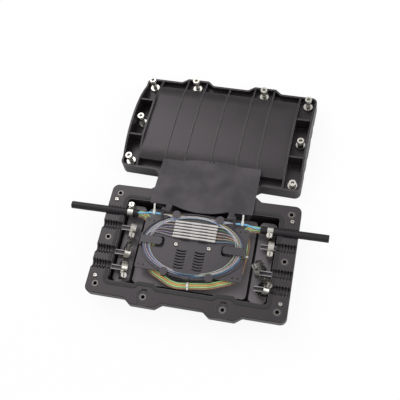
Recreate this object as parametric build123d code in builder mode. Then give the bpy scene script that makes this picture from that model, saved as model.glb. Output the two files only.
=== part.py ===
"""A horizontal fibre splice closure, open for work, in millimetres.

The lower shell lies on the ground with its splice tray, cables and hose clamps. The upper shell lies
behind it, outer face up, and the tray's lid is thrown back onto it.
The origin is the centre of the lower shell's underside, +X along the closure, +Y towards the back.
"""
import os
from math import asin, atan2, cos, degrees, hypot, radians, sin, sqrt, tan

from build123d import *

os.makedirs("parts", exist_ok=True)

# Plan shape of both shells
shell_length = 275.0
shell_width = 165.0
shell_corner_radius = 9.0
lug_x = 54.2
lug_root = 53.0
lug_reach = 7.5
lug_slope = 38.0
lug_blend = 4.0
lug_bolt_inset = 5.0
corner_bolt_inset = 13.3

# Lower shell
base_height = 38.5
flange_thickness = 12.5
end_flange = 28.0
side_flange = 20.5
cavity_corner_radius = 4.0
jog_depth = 5.0
jog_root = 33.0
jog_slope = 45.0
belly_wall = 3.5
belly_draft = 5.0
belly_corner_radius = 9.0
floor_thickness = 4.0
gusset_thickness = 2.4
underside_pocket_depth = 8.5
underside_pocket_gap = 2.4
flange_rim = 3.5
edge_round = 1.2
lug_recess_radius = 8.8
lug_recess_depth = 1.0
lug_recess_channel = 12.6
lug_slot_length = 8.0
lug_slot_width = 2.2
lug_slot_inset = 9.4
lug_slot_depth = 3.0

# Seal between the shells
groove_offset = 1.6
groove_width = 4.4
groove_depth = 8.0
gasket_side_gap = 0.15
gasket_proud = 0.6
tongue_side_gap = 0.7
tongue_height = 2.5

# Cable ports, four in each end
port_inner_y = 18.5
port_outer_y = 40.8
port_radius = 5.6
port_slots = 5
port_slot_width = 2.0
port_slot_half_length = 7.2
port_slot_depth = 7.4
rest_length = 20.5
rest_width = 7.0
rest_height = 3.4
rest_wall = 1.3
rest_cable_gap = 0.15

# Fasteners
insert_radius = 4.4
insert_bore = 2.6
insert_length = 9.0
insert_seat_radius = 5.4
insert_seat_depth = 0.4
corner_screw_inset_x = 10.8
corner_screw_inset_y = 24.1
pan_head_radius = 3.0
pan_head_height = 2.0
pan_head_chamfer = 0.8
pan_recess_width = 0.8
pan_shank_radius = 1.5
pan_shank_length = 8.0
bolt_radius = 3.0
bolt_length = 20.0
bolt_head_radius = 5.0
bolt_head_height = 6.0
bolt_socket = 5.0
bolt_socket_depth = 3.2
bolt_hole_gap = 0.3
washer_radius = 7.0
washer_hole_gap = 0.25
washer_thickness = 1.6
ring_thickness = 1.8
ring_radius = 4.8

# Upper shell, in its own frame: sealing face at zero, outer face up
cover_turn = -2.4
cover_x = -3.0
cover_y = 199.4
slab_thickness = 12.0
rim_thickness = 3.2
rim_height = 21.5
rim_draft = 2.0
end_wall_height = 39.5
end_arch_half_span = 66.0
vault_half_span = 66.7
vault_edge_height = 24.0
vault_shoulder_y = 47.0
vault_shoulder_height = 30.0
vault_height = 32.0
vault_skin = 3.0
rib_x = (0.0, 39.2, 69.5)
rib_thickness = 2.2
rib_proud = 1.2
inner_wall_inset = 26.5
inner_wall_thickness = 2.6
inner_wall_height = 36.5
inner_wall_flat = 31.0
inner_wall_blend = 9.0
divider_y = 32.3
divider_height = 34.0
boss_radius = 7.6
boss_height = 1.5

# Bridges in the lower shell
anchor_drop = 14.0
anchor_end_gap = 2.6
anchor_side_gap = 4.0
anchor_width = 23.5
bridge_wall = 2.5
bridge_corner_radius = 6.0
plate_drop = 16.0
plate_gap = 4.0
plate_front_gap = 6.5
plate_back_gap = 3.5
post_radius = 4.0

# Splice tray
tray_x = -1.5
tray_rise = 4.0
tray_length = 147.0
tray_front_y = -39.5
tray_back_y = 36.5
tray_thickness = 2.0
tray_corner_radius = 3.0
tray_oval_length = 149.0
tray_oval_width = 95.0
tray_oval_y = 1.5
tray_lip = 1.2
tray_lip_inset = 0.3
tray_lip_height = 1.6
fibre_outer = (70.3, 44.4)
fibre_inner = (60.8, 40.2)
fibre_band_height = 2.6
fibre_deck_gap = 0.05
fan_height = 0.9
tab_clearance = 0.9
tab_thickness = 1.4
wide_tab_length = 31.0
wide_tab_width = 11.0
tab_window_gap = 2.4
round_tab_x = 31.0
round_tab_reach = 42.0
round_tab_radius = 5.6
round_tab_post = 1.6
tab_post = 2.2
comb_slots = 7
comb_x = (-13.7, 12.2)
comb_y = -18.8
comb_pitch = 4.1
comb_length = 12.6
comb_slot_width = 2.0
comb_bow = 1.1
tie_hole_radius = 1.3
tie_hole_inset = 5.0
tie_hole_pitch = 7.0
tray_screw_x = 23.0
tray_screw_y = 0.8
tray_hole_gap = 0.25
latch_width = 9.0
latch_depth = 3.6
latch_overhang = 0.7
latch_height = 4.2

# Splice protector sleeves and their holder
sleeves = 6
sleeve_length = 60.0
sleeve_radius = 1.6
sleeve_pitch = 4.4
sleeve_y = 22.8
holder_base = 1.2
holder_length = 44.0
finger_length = 12.0
finger_gap = 13.0
finger_height = 3.2
finger_side_gap = 0.1

# Tray lid
hinge_y = 47.5
hinge_rise = 6.0
lid_hinge_x = 45.0
lid_drop = 2.0
lid_thickness = 1.6
lid_near = 10.5
lid_far = 90.0
lid_near_bulge = 7.0
lid_near_bulge_half = 38.0
lid_far_bulge = 4.5
lid_far_bulge_half = 44.0
lid_corner_radius = 2.0
lid_arm_width = 8.0
lid_barrel_radius = 3.0
lid_pin_radius = 1.5
lid_pin_length = 3.2
lid_pin_gap = 0.06
lid_ear_gap = 0.4
lid_ear_thickness = 3.0
lid_ear_radius = 3.6
lid_ear_root = 3.0
lid_notch = 2.2
lid_notch_spread = 5.4
lid_rest_gap = 0.1

# Cables, tubes and fibres
cable_radius = 5.3
cable_left_end = -190.5
cable_right_end = 178.0
cable_left_stripped = -89.6
cable_right_stripped = 86.0
blue_in_cable = 2.9
row_in_cable = 2.2
tube_radius = 1.1
tube_pitch = 2.45
tray_tube_gap = 5.0
blue_radius = 1.35
blue_y = 41.8
blue_run = 18.5
blue_bend = 15.0
tube_lead = 8.0
tie_width = 2.2
tie_thickness = 0.7
tie_gap = 0.15
tie_head = 3.2
blue_tie_tail = 9.0
loop_tie_tail = 0.3

# Hose clamps
band_width = 8.0
band_thickness = 0.8
loose_inner_radius = 8.7
tight_gap = 0.15
housing_length = 11.0
housing_height = 6.0
housing_width = 7.6
worm_radius = 2.5
worm_bore_gap = 0.05
worm_head_gap = 0.1
worm_head_height = 4.0
worm_head_across = 7.6
worm_slot_width = 1.2
worm_slot_depth = 1.4
band_tail = 4.0
band_rest_gap = 0.2

# Values that follow from the sizes above
cavity_length = shell_length - 2 * end_flange
cavity_width = shell_width - 2 * side_flange
flange_under = base_height - flange_thickness
corner_bolt_x = shell_length / 2 - corner_bolt_inset
corner_bolt_y = shell_width / 2 - corner_bolt_inset
lug_bolt_y = shell_width / 2 - lug_bolt_inset
corner_screw_x = shell_length / 2 - corner_screw_inset_x
corner_screw_y = shell_width / 2 - corner_screw_inset_y
corner_bolts = [(x * corner_bolt_x, y * corner_bolt_y) for x in (-1, 1) for y in (-1, 1)]
end_bolts = [(-corner_bolt_x, 0.0), (corner_bolt_x, 0.0)]
lug_bolts = [(x * lug_x, y * lug_bolt_y) for x in (-1, 1) for y in (-1, 1)]
bolt_sites = corner_bolts + end_bolts + lug_bolts
insert_drops = [(corner_bolts + end_bolts, insert_seat_depth), (lug_bolts, lug_recess_depth + insert_seat_depth)]
port_ys = (port_outer_y, port_inner_y, -port_inner_y, -port_outer_y)
groove_end = cavity_length / 2 + groove_offset + groove_width
slot_pitch = (shell_length / 2 - groove_end) / (port_slots + 0.5)
slot_xs = [groove_end + slot_pitch * (0.75 + k) for k in range(port_slots)]
anchor_top = base_height - anchor_drop
anchor_x = cavity_length / 2 - anchor_end_gap - anchor_width / 2
plate_top = base_height - plate_drop
plate_length = 2 * (anchor_x - anchor_width / 2 - plate_gap)
deck_top = base_height + tray_rise
deck_under = deck_top - tray_thickness
hinge_z = deck_top + hinge_rise
rest_top = base_height - sqrt(cable_radius ** 2 - (rest_width / 2 - rest_wall) ** 2) - rest_cable_gap
tab_under = deck_top + fibre_band_height + tab_clearance
tight_half = cable_radius + 1.3 * tight_gap
tight_top = base_height + cable_radius + tight_gap
tight_bottom = rest_top - rest_height - tight_gap
tight_height = tight_top - tight_bottom


def shell_outline(plane, inset=0.0):
    """Plan of either shell: a rounded rectangle with two bolt lugs on each long side."""
    with BuildSketch(plane) as outline:
        RectangleRounded(shell_length, shell_width, shell_corner_radius)
        for side, turn in ((1, 0), (-1, 180)):
            with Locations((-lug_x, side * shell_width / 2), (lug_x, side * shell_width / 2)):
                Trapezoid(lug_root, lug_reach, lug_slope, rotation=turn, align=(Align.CENTER, Align.MIN))
        bends = outline.vertices().filter_by(
            lambda v: abs(v.Y) > shell_width / 2 - 0.01 and abs(v.X) < lug_x + lug_root / 2 + 0.01
        )
        fillet(bends, radius=lug_blend)
        if inset:
            offset(amount=-inset)
    return outline.sketch


def cavity_outline(plane, grow=0.0):
    """Mouth of the hollow: a rounded rectangle that steps in beside each lug's bolt."""
    with BuildSketch(plane) as mouth:
        RectangleRounded(cavity_length, cavity_width, cavity_corner_radius)
        for side, turn in ((1, 180), (-1, 0)):
            with Locations((-lug_x, side * cavity_width / 2), (lug_x, side * cavity_width / 2)):
                Trapezoid(
                    jog_root, jog_depth, jog_slope, rotation=turn,
                    align=(Align.CENTER, Align.MIN), mode=Mode.SUBTRACT,
                )
        if grow:
            offset(amount=grow)
    return mouth.sketch


def seal_track(plane, side_gap=0.0):
    """Closed track that runs round the cavity, where the gasket lies."""
    with BuildSketch(plane) as track:
        add(cavity_outline(Plane.XY, groove_offset + groove_width - side_gap))
        add(cavity_outline(Plane.XY, groove_offset + side_gap), mode=Mode.SUBTRACT)
    return track.sketch


def cut_ports(height):
    """Half-round cable grooves at the parting plane, with cross slots that grip the sealing tape."""
    channel = end_flange + 2.0
    middle = (cavity_length / 2 + shell_length / 2) / 2
    with Locations(*[(side * middle, y, height) for side in (-1, 1) for y in port_ys]):
        Cylinder(port_radius, channel, rotation=(0, 90, 0), mode=Mode.SUBTRACT)
    with Locations(*[(side * x, y, height) for side in (-1, 1) for y in port_ys for x in slot_xs]):
        Box(port_slot_width, 2 * port_slot_half_length, 2 * port_slot_depth, mode=Mode.SUBTRACT)


# The lower shell: a thick flange round a hollow belly that stands on the ground
with BuildPart() as lower_shell:
    extrude(shell_outline(Plane.XY.offset(flange_under)), amount=flange_thickness)
    top_face = lower_shell.faces().sort_by(Axis.Z)[-1]
    fillet(top_face.outer_wire().edges(), radius=edge_round)
    with BuildSketch(Plane.XY.offset(flange_under)) as belly:
        RectangleRounded(
            cavity_length + 2 * belly_wall, cavity_width + 2 * belly_wall, belly_corner_radius
        )
    extrude(amount=-flange_under, taper=belly_draft)
    # gusset ribs from the belly up to the flange, front, back and ends
    gusset_foot = (flange_under - floor_thickness) * tan(radians(belly_draft))
    for x in [side * rib for rib in rib_x for side in (-1, 1) if rib or side > 0]:
        for face in (-1, 1):
            with BuildSketch(Plane.YZ.offset(x)) as long_gusset:
                with BuildLine():
                    root = face * (cavity_width / 2 + belly_wall / 2)
                    Polyline(
                        (root, flange_under), (face * (shell_width / 2 - flange_rim), flange_under),
                        (root - face * gusset_foot, floor_thickness), close=True,
                    )
                make_face()
            extrude(amount=gusset_thickness / 2, both=True)
    for y in (-divider_y, divider_y):
        for face in (-1, 1):
            with BuildSketch(Plane.XZ.offset(y)) as end_gusset:
                with BuildLine():
                    root = face * (cavity_length / 2 + belly_wall / 2)
                    Polyline(
                        (root, flange_under), (face * (shell_length / 2 - flange_rim), flange_under),
                        (root - face * gusset_foot, floor_thickness), close=True,
                    )
                make_face()
            extrude(amount=gusset_thickness / 2, both=True)
    # the hollow: stepped mouth through the flange, drafted well below it
    extrude(cavity_outline(Plane.XY.offset(base_height)), amount=-flange_thickness, mode=Mode.SUBTRACT)
    with BuildSketch(Plane.XY.offset(flange_under)) as well:
        RectangleRounded(cavity_length, cavity_width, cavity_corner_radius)
    extrude(amount=-(flange_under - floor_thickness), taper=belly_draft, mode=Mode.SUBTRACT)
    # weight pockets under the long flanges, between the lugs and beside them
    pocket_inner = cavity_width / 2 + groove_offset + groove_width + underside_pocket_gap
    pocket_outer = shell_width / 2 - flange_rim
    middle_run = lug_x - lug_root / 2 - underside_pocket_gap
    end_start = lug_x + lug_root / 2 + underside_pocket_gap
    end_run = corner_bolt_x - insert_seat_radius - underside_pocket_gap - end_start
    for side in (-1, 1):
        pocket_y = side * (pocket_inner + pocket_outer) / 2
        with BuildSketch(Plane.XY.offset(flange_under)) as pockets:
            with Locations((-middle_run / 2 - gusset_thickness / 4, pocket_y),
                           (middle_run / 2 + gusset_thickness / 4, pocket_y)):
                Rectangle(middle_run - gusset_thickness / 2, pocket_outer - pocket_inner)
            with Locations((-end_start - end_run / 2, pocket_y), (end_start + end_run / 2, pocket_y)):
                Rectangle(end_run, pocket_outer - pocket_inner)
        extrude(amount=underside_pocket_depth, mode=Mode.SUBTRACT)
    # the gasket's groove and the cable ports
    extrude(seal_track(Plane.XY.offset(base_height)), amount=-groove_depth, mode=Mode.SUBTRACT)
    cut_ports(base_height)
    # half-round rests that carry each cable on from its port
    for side in (-1, 1):
        for y in port_ys:
            with BuildSketch(Plane.YZ.offset(side * (cavity_length / 2 - rest_length))) as trough:
                with Locations((y, rest_top - rest_height / 2)):
                    Rectangle(rest_width, rest_height)
                fillet(trough.vertices().group_by(Axis.Y)[0], radius=rest_height * 0.7)
                with Locations((y, rest_top)):
                    Rectangle(
                        rest_width - 2 * rest_wall, rest_height - rest_wall,
                        align=(Align.CENTER, Align.MAX), mode=Mode.SUBTRACT,
                    )
            extrude(amount=side * (rest_length + 1.0))
    # keyhole recess and drain slot at each lug bolt
    for x, y in lug_bolts:
        out = 1 if y > 0 else -1
        with BuildSketch(Plane.XY.offset(base_height)) as keyhole:
            with Locations((x, y)):
                Circle(lug_recess_radius)
            with Locations((x, y + out * lug_reach)):
                Rectangle(lug_recess_channel, 2 * lug_reach + 4.0)
        extrude(amount=-lug_recess_depth, mode=Mode.SUBTRACT)
    with Locations(*[(x, y - lug_slot_inset * (1 if y > 0 else -1), base_height) for x, y in lug_bolts]):
        Box(lug_slot_length, lug_slot_width, 2 * lug_slot_depth, mode=Mode.SUBTRACT)
    # seats for the inserts and holes for the corner screws
    for sites, drop in insert_drops:
        with Locations(*[(x, y, base_height) for x, y in sites]):
            CounterBoreHole(insert_radius, insert_seat_radius, drop, depth=insert_length + drop)
    with Locations(*[(sx * corner_screw_x, sy * corner_screw_y, base_height)
                     for sx in (-1, 1) for sy in (-1, 1)]):
        Hole(pan_shank_radius, depth=pan_shank_length)
lower_shell.part.label = "lower_shell"
export_step(lower_shell.part, "parts/lower_shell.step")

# The gasket, a rubber strip that stands a little proud of its groove and dips under each cable
with BuildPart() as seal_gasket:
    groove_floor = Plane.XY.offset(base_height - groove_depth)
    extrude(seal_track(groove_floor, gasket_side_gap), amount=groove_depth + gasket_proud)
    with Locations(*[(side * cavity_length / 2, y, base_height) for side in (-1, 1) for y in port_ys]):
        Cylinder(port_radius, 2 * end_flange, rotation=(0, 90, 0), mode=Mode.SUBTRACT)
seal_gasket.part.label = "seal_gasket"
export_step(seal_gasket.part, "parts/seal_gasket.step")

# Ten brass inserts, pressed into the flange for the cover's bolts
with BuildPart() as threaded_inserts:
    for sites, drop in insert_drops:
        with BuildSketch(Plane.XY.offset(base_height - drop)) as insert_ring:
            with Locations(*sites):
                Circle(insert_radius)
                Circle(insert_bore, mode=Mode.SUBTRACT)
        extrude(amount=-insert_length)
threaded_inserts.part.label = "threaded_inserts"
export_step(threaded_inserts.part, "parts/threaded_inserts.step")


def pan_screw(seat):
    """A pan head screw with a cross recess, its head on the seat plane."""
    with BuildPart() as screw:
        with BuildSketch(seat):
            Circle(pan_head_radius)
        extrude(amount=pan_head_height)
        rim = screw.edges().filter_by(GeomType.CIRCLE).sort_by(Axis.Z)[-1]
        chamfer(rim, length=pan_head_chamfer)
        with BuildSketch(seat.offset(pan_head_height)):
            Rectangle(pan_recess_width, pan_head_radius * 1.1)
            Rectangle(pan_head_radius * 1.1, pan_recess_width)
        extrude(amount=-pan_head_height * 0.5, mode=Mode.SUBTRACT)
        with BuildSketch(seat):
            Circle(pan_shank_radius)
        extrude(amount=-pan_shank_length)
    return screw.part


# Four screws at the corners of the lower shell
with BuildPart() as corner_screws:
    for sx in (-1, 1):
        for sy in (-1, 1):
            add(pan_screw(Plane((sx * corner_screw_x, sy * corner_screw_y, base_height))))
corner_screws.part.label = "corner_screws"
export_step(corner_screws.part, "parts/corner_screws.step")


def bridge(centre_x, front, back, length, top):
    """A moulded bridge that stands on the shell's floor, open below."""
    with BuildPart() as block:
        with BuildSketch(Plane((centre_x, (front + back) / 2, floor_thickness))):
            RectangleRounded(length, back - front, bridge_corner_radius)
        extrude(amount=top - floor_thickness)
        offset(amount=-bridge_wall, openings=block.faces().sort_by(Axis.Z)[0])
    return block.part


# The anchor bridges, under the cable rests at each end
anchor_half = cavity_width / 2 - anchor_side_gap
for side, name in ((-1, "anchor_bridge_left"), (1, "anchor_bridge_right")):
    with BuildPart() as anchor_bridge:
        add(bridge(side * anchor_x, -anchor_half, anchor_half, anchor_width, anchor_top))
    anchor_bridge.part.label = name
    export_step(anchor_bridge.part, f"parts/{name}.step")

# The equipment plate between them, with two posts that carry the splice tray
tray_screw_sites = [(tray_x - tray_screw_x, tray_screw_y), (tray_x + tray_screw_x, tray_screw_y)]
with BuildPart() as equipment_plate:
    plate_front = plate_front_gap - cavity_width / 2
    plate_back = cavity_width / 2 - plate_back_gap
    add(bridge(0.0, plate_front, plate_back, plate_length, plate_top))
    with BuildSketch(Plane.XY.offset(plate_top - 1.0)) as posts:
        with Locations(*tray_screw_sites):
            Circle(post_radius)
    extrude(amount=deck_under - plate_top + 1.0)
    with Locations(*[(x, y, deck_under) for x, y in tray_screw_sites]):
        Hole(pan_shank_radius, depth=pan_shank_length)
equipment_plate.part.label = "equipment_plate"
export_step(equipment_plate.part, "parts/equipment_plate.step")


def tray_outline(plane):
    """Plan of the splice tray: a rounded rectangle joined to the fibres' oval."""
    with BuildSketch(plane) as outline:
        with Locations((tray_x, (tray_front_y + tray_back_y) / 2)):
            RectangleRounded(tray_length, tray_back_y - tray_front_y, tray_corner_radius)
        with Locations((tray_x, tray_oval_y)):
            Ellipse(tray_oval_length / 2, tray_oval_width / 2)
    return outline.sketch


def tray_oval(plane, half_length, half_width):
    """An oval centred on the tray's."""
    with BuildSketch(plane) as oval:
        with Locations((tray_x, tray_oval_y)):
            Ellipse(half_length, half_width)
    return oval.sketch


def wide_tab(plane, side, grow):
    """A long tab that reaches in over the fibres from one end of the tray."""
    with BuildSketch(plane) as tab:
        with Locations((tray_x + side * (tray_length / 2 - wide_tab_length / 2), tray_oval_y)):
            RectangleRounded(wide_tab_length + 2 * grow, wide_tab_width + 2 * grow, wide_tab_width * 0.4)
    return tab.sketch


# The splice tray
deck = Plane.XY.offset(deck_under)
with BuildPart() as splice_tray:
    extrude(tray_outline(deck), amount=tray_thickness)
    # a low lip round the oval holds the wound fibres
    lip_plane = Plane.XY.offset(deck_top)
    lip_half_length = tray_oval_length / 2 - tray_lip_inset
    lip_half_width = tray_oval_width / 2 - tray_lip_inset
    extrude(tray_oval(lip_plane, lip_half_length, lip_half_width), amount=tray_lip_height)
    extrude(
        tray_oval(lip_plane, lip_half_length - tray_lip, lip_half_width - tray_lip),
        amount=tray_lip_height, mode=Mode.SUBTRACT,
    )
    # windows under the wide tabs, then the tabs and their end walls
    for side in (-1, 1):
        end_x = tray_x + side * tray_length / 2
        extrude(wide_tab(deck, side, tab_window_gap), amount=tray_thickness, mode=Mode.SUBTRACT)
        extrude(wide_tab(Plane.XY.offset(tab_under), side, 0.0), amount=tab_thickness)
        with Locations((end_x - side * tab_post / 2, tray_oval_y, deck_under)):
            Box(
                tab_post, wide_tab_width + 2 * tab_window_gap + 2.0, tab_under + tab_thickness - deck_under,
                align=(Align.CENTER, Align.CENTER, Align.MIN),
            )
    # round lobes at the front and back of the oval, each with a round tab on a post
    for side in (-1, 1):
        for face in (-1, 1):
            tab_x = tray_x + side * round_tab_x
            tab_y = tray_oval_y + face * round_tab_reach
            for level, thickness in ((deck_under, tray_thickness), (tab_under, tab_thickness)):
                with BuildSketch(Plane.XY.offset(level)) as round_tab:
                    with Locations((tab_x, tab_y)):
                        Circle(round_tab_radius)
                extrude(amount=thickness)
            with Locations((tab_x, tab_y + face * (round_tab_radius - round_tab_post), deck_under)):
                Box(
                    round_tab_radius, round_tab_post, tab_under + tab_thickness - deck_under,
                    align=(Align.CENTER, Align.CENTER, Align.MIN),
                )
    # two columns of bowed slots
    with BuildSketch(deck) as combs:
        for x in comb_x:
            with Locations((tray_x + x, comb_y)):
                with GridLocations(1.0, comb_pitch, 1, comb_slots):
                    SlotArc(
                        ThreePointArc((-comb_length / 2, 0), (0, -comb_bow), (comb_length / 2, 0)),
                        comb_slot_width,
                    )
    extrude(amount=tray_thickness, mode=Mode.SUBTRACT)
    # pairs of tie holes in the corners
    with BuildSketch(deck) as tie_holes:
        for side in (-1, 1):
            for hole_y in (tray_front_y + tie_hole_inset, tray_back_y - tie_hole_inset):
                corner_x = tray_x + side * (tray_length / 2 - tie_hole_inset)
                with Locations((corner_x, hole_y), (corner_x - side * tie_hole_pitch, hole_y)):
                    Circle(tie_hole_radius)
    extrude(amount=tray_thickness, mode=Mode.SUBTRACT)
    # latch block at the middle of the front edge, with its two slots
    latch_y = tray_oval_y - tray_oval_width / 2 - latch_overhang
    with Locations((tray_x, latch_y, deck_under)):
        Box(latch_width, latch_depth, latch_height + tray_thickness, align=(Align.CENTER, Align.MIN, Align.MIN))
    # ears that take the lid's hinge pins
    for side in (-1, 1):
        ear_x = tray_x + side * (lid_hinge_x + lid_arm_width / 2 + lid_ear_gap + lid_ear_thickness / 2)
        with BuildSketch(Plane.YZ.offset(ear_x)) as ear:
            with Locations((hinge_y, hinge_z)):
                Circle(lid_ear_radius)
            with BuildLine():
                Polyline(
                    (tray_back_y - lid_ear_root, deck_under), (hinge_y, hinge_z - lid_ear_radius),
                    (hinge_y + lid_ear_radius, hinge_z), (hinge_y, hinge_z + lid_ear_radius),
                    (tray_back_y - lid_ear_root, deck_top + tray_lip_height), close=True,
                )
            make_face()
            with Locations((hinge_y, hinge_z)):
                Circle(lid_pin_radius + lid_pin_gap, mode=Mode.SUBTRACT)
        extrude(amount=lid_ear_thickness / 2, both=True)
    with Locations(*[(x, y, deck_top) for x, y in tray_screw_sites]):
        Hole(pan_shank_radius + tray_hole_gap, depth=tray_thickness)
splice_tray.part.label = "splice_tray"
export_step(splice_tray.part, "parts/splice_tray.step")

# Two screws that hold the tray down on its posts
with BuildPart() as tray_screws:
    for x, y in tray_screw_sites:
        add(pan_screw(Plane((x, y, deck_top))))
tray_screws.part.label = "tray_screws"
export_step(tray_screws.part, "parts/tray_screws.step")

# The splice holder: a base with two rows of fingers between the sleeves
finger_thickness = sleeve_pitch - 2 * (sleeve_radius + finger_side_gap)
holder_width = sleeves * sleeve_pitch + finger_thickness + 0.4
with BuildPart() as splice_holder:
    with BuildSketch(Plane((tray_x, sleeve_y, deck_top))):
        Rectangle(holder_length, holder_width)
    extrude(amount=holder_base)
    with Locations((tray_x, sleeve_y, deck_top + holder_base)):
        with GridLocations(finger_length + finger_gap, sleeve_pitch, 2, sleeves + 1):
            Box(finger_length, finger_thickness, finger_height, align=(Align.CENTER, Align.CENTER, Align.MIN))
splice_holder.part.label = "splice_holder"
export_step(splice_holder.part, "parts/splice_holder.step")

# Six shrink sleeves, each over a fused fibre and its steel rod
with BuildPart() as splice_sleeves:
    sleeve_start = Plane(
        (tray_x - sleeve_length / 2, sleeve_y, deck_top + holder_base + sleeve_radius),
        x_dir=(0, 1, 0), z_dir=(1, 0, 0),
    )
    with BuildSketch(sleeve_start):
        with GridLocations(sleeve_pitch, 1.0, sleeves, 1):
            Circle(sleeve_radius)
    extrude(amount=sleeve_length)
splice_sleeves.part.label = "splice_sleeves"
export_step(splice_sleeves.part, "parts/splice_sleeves.step")

# The frame of the upper shell, and section planes in it
cover = Plane(
    origin=(cover_x, cover_y, tongue_height),
    x_dir=(cos(radians(cover_turn)), sin(radians(cover_turn)), 0), z_dir=(0, 0, 1),
)


def across(x):
    """Plane across the upper shell at x, its own x towards the back and y up."""
    return Plane(origin=cover.from_local_coords((x, 0, 0)), x_dir=cover.y_dir, z_dir=cover.x_dir)


def vault_section(plane, edge_y, drop, bottom):
    """Section of the vault: a shallow crown that rolls down to its front and back edges."""
    with BuildSketch(plane) as section:
        with BuildLine():
            crown = ThreePointArc(
                (-vault_shoulder_y, vault_shoulder_height - drop), (0, vault_height - drop),
                (vault_shoulder_y, vault_shoulder_height - drop),
            )
            back = TangentArc(crown @ 1, (edge_y, vault_edge_height - drop), tangent=crown % 1)
            front = TangentArc(crown @ 0, (-edge_y, vault_edge_height - drop), tangent=-(crown % 0))
            Polyline(back @ 1, (edge_y, bottom), (-edge_y, bottom), front @ 1)
        make_face()
    return section.sketch


# The upper shell: slab, rim, arched end walls, ribbed vault and bolt pockets
with BuildPart(cover) as upper_shell:
    extrude(shell_outline(cover), amount=end_wall_height, taper=rim_draft)
    # the end walls rise in an arch above the level rim
    with BuildSketch(across(-shell_length)) as above_arch:
        with BuildLine():
            arch = ThreePointArc(
                (-end_arch_half_span, rim_height), (0, end_wall_height), (end_arch_half_span, rim_height)
            )
            Polyline(
                arch @ 1, (shell_width, rim_height), (shell_width, 2 * end_wall_height),
                (-shell_width, 2 * end_wall_height), (-shell_width, rim_height), arch @ 0,
            )
        make_face()
    extrude(amount=2 * shell_length, mode=Mode.SUBTRACT)
    extrude(
        shell_outline(cover.offset(slab_thickness), rim_thickness),
        amount=end_wall_height, taper=rim_draft, mode=Mode.SUBTRACT,
    )
    # the vault between the two inner walls
    inner_wall_x = shell_length / 2 - inner_wall_inset
    embed = slab_thickness - 1.0
    extrude(vault_section(across(-inner_wall_x), vault_half_span, 0.0, embed), amount=2 * inner_wall_x)
    # ribs that run over it, front to back, and tie into the rim
    for x in [side * rib for rib in rib_x for side in (-1, 1) if rib or side > 0]:
        in_lug = lug_x - lug_root / 2 < abs(x) < lug_x + lug_root / 2
        rib_end = shell_width / 2 - rim_thickness / 2 + (lug_reach - rim_thickness / 2 if in_lug else 0.0)
        with BuildSketch(across(x)) as rib:
            add(vault_section(Plane.XY, vault_half_span, -rib_proud, embed))
            with BuildLine():
                Polyline(
                    (-rib_end, embed), (-rib_end, rim_height - 0.6),
                    (-vault_half_span, vault_edge_height + rib_proud),
                    (vault_half_span, vault_edge_height + rib_proud),
                    (rib_end, rim_height - 0.6), (rib_end, embed), close=True,
                )
            make_face()
        extrude(amount=rib_thickness / 2, both=True)
    # inner walls beside the end pockets, level in the middle and sloping to the rim
    for side in (-1, 1):
        wall_end = shell_width / 2 - rim_thickness / 2
        with BuildSketch(across(side * inner_wall_x)) as inner_wall:
            with BuildLine():
                Polyline(
                    (-wall_end, embed), (-wall_end, rim_height - 0.4), (-inner_wall_flat, inner_wall_height),
                    (inner_wall_flat, inner_wall_height), (wall_end, rim_height - 0.4), (wall_end, embed),
                    close=True,
                )
            make_face()
            fillet(inner_wall.vertices().group_by(Axis.Y)[-1], radius=inner_wall_blend)
        extrude(amount=inner_wall_thickness / 2, both=True)
    # dividers of the end pockets
    divider_run = shell_length / 2 - rim_thickness - inner_wall_x
    with Locations(*[(side * (inner_wall_x + divider_run / 2), y, slab_thickness - 1.0)
                     for side in (-1, 1) for y in (-divider_y, divider_y)]):
        Box(
            divider_run, rib_thickness, divider_height - slab_thickness + 1.0,
            align=(Align.CENTER, Align.CENTER, Align.MIN),
        )
    # bosses under the bolts' washers
    with BuildSketch(cover.offset(slab_thickness - 1.0)) as bosses:
        with Locations(*bolt_sites):
            Circle(boss_radius)
    extrude(amount=1.0 + boss_height)
    # the hollow below: mouth in the slab and the inside of the vault
    extrude(cavity_outline(cover), amount=slab_thickness, mode=Mode.SUBTRACT)
    hollow_start = inner_wall_x - inner_wall_thickness / 2
    extrude(
        vault_section(across(-hollow_start), cavity_width / 2, vault_skin, slab_thickness - 0.5),
        amount=2 * hollow_start, mode=Mode.SUBTRACT,
    )
    # tongue that presses the gasket, then the ports through it and the slab
    extrude(seal_track(cover, tongue_side_gap), amount=-tongue_height)
    cut_ports(0.0)
    with Locations(*[(x, y, slab_thickness + boss_height) for x, y in bolt_sites]):
        Hole(bolt_radius + bolt_hole_gap, depth=2 * slab_thickness)
upper_shell.part.label = "upper_shell"
export_step(upper_shell.part, "parts/upper_shell.step")

# Height of each bolt's head above its washer, as it was left backed out of the insert
lift_back_left, lift_end_left, lift_front_left = 13.0, 13.0, 9.0
lift_back_right, lift_end_right, lift_front_right = 11.5, 4.5, 0.6
lift_lug_left, lift_lug_right, lift_lug_front = 12.8, 10.5, 0.8
bolt_lifts = [
    lift_front_left, lift_back_left, lift_front_right, lift_back_right,
    lift_end_left, lift_end_right,
    lift_lug_front, lift_lug_left, lift_lug_front, lift_lug_right,
]
washer_seat = slab_thickness + boss_height

# Ten plain washers on the bosses
with BuildPart(cover) as bolt_washers:
    with BuildSketch(cover.offset(washer_seat)) as washer:
        with Locations(*bolt_sites):
            Circle(washer_radius)
            Circle(bolt_radius + washer_hole_gap, mode=Mode.SUBTRACT)
    extrude(amount=washer_thickness)
bolt_washers.part.label = "bolt_washers"
export_step(bolt_washers.part, "parts/bolt_washers.step")

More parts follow.
